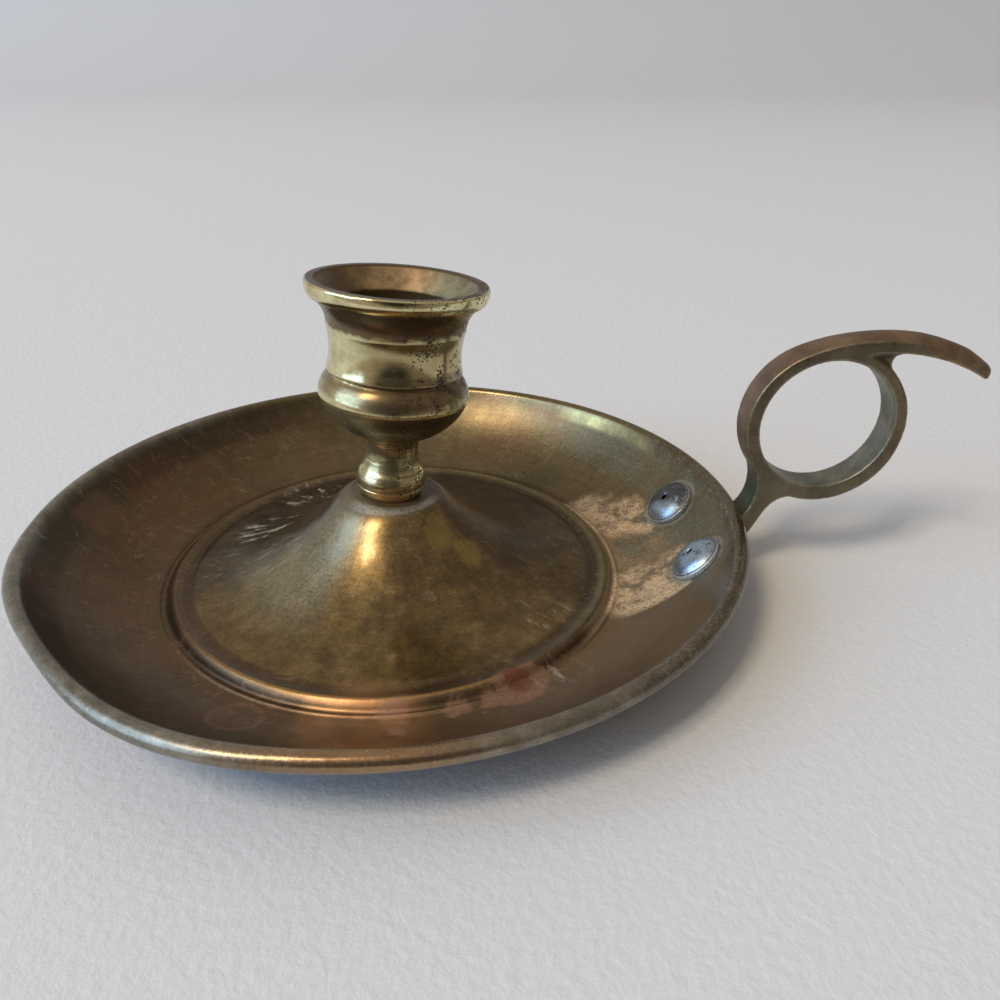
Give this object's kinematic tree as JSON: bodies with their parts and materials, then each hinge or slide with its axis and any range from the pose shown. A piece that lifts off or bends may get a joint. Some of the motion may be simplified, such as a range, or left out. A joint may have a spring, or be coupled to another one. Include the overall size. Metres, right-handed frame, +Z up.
{
  "type": "chamberstick",
  "caption": "Low brass chamberstick: dished drip pan with a rolled rim and raised boss, a turned candle socket that unscrews, and a cast finger ring with thumb tail riveted under the rim.",
  "frame": {"origin": "on the pan's axis at table level", "axes": "+Z up, +X from the pan's axis towards the finger ring, +Y to the left when looking along +X"},
  "size_m": [0.1923, 0.145, 0.0634],
  "materials": {
    "pan_brass": "aged brown patina, rubbed golden",
    "socket_brass": "turned, worn polish with dark pits",
    "handle_brass": "cast, dull brown patina",
    "fixing_brass": "dull",
    "rivet_aluminium": "dull, stained",
    "mandrel_steel": "dark"
  },
  "bodies": {
    "base": {"pan": "pan_brass", "socket_stud": "fixing_brass", "stud_washer": "fixing_brass", "stud_nut": "fixing_brass", "handle": "handle_brass", "rivet_bodies": "rivet_aluminium", "rivet_mandrels": "mandrel_steel"},
    "socket": {"candle_socket": "socket_brass"}
  },
  "joints": [
    {"name": "socket_turn", "type": "hinge", "parent": "base", "child": "socket", "pos_m": [0, 0, 0.0191], "axis": [0.0846, 0.045, 0.9954], "continuous": true}
  ]
}
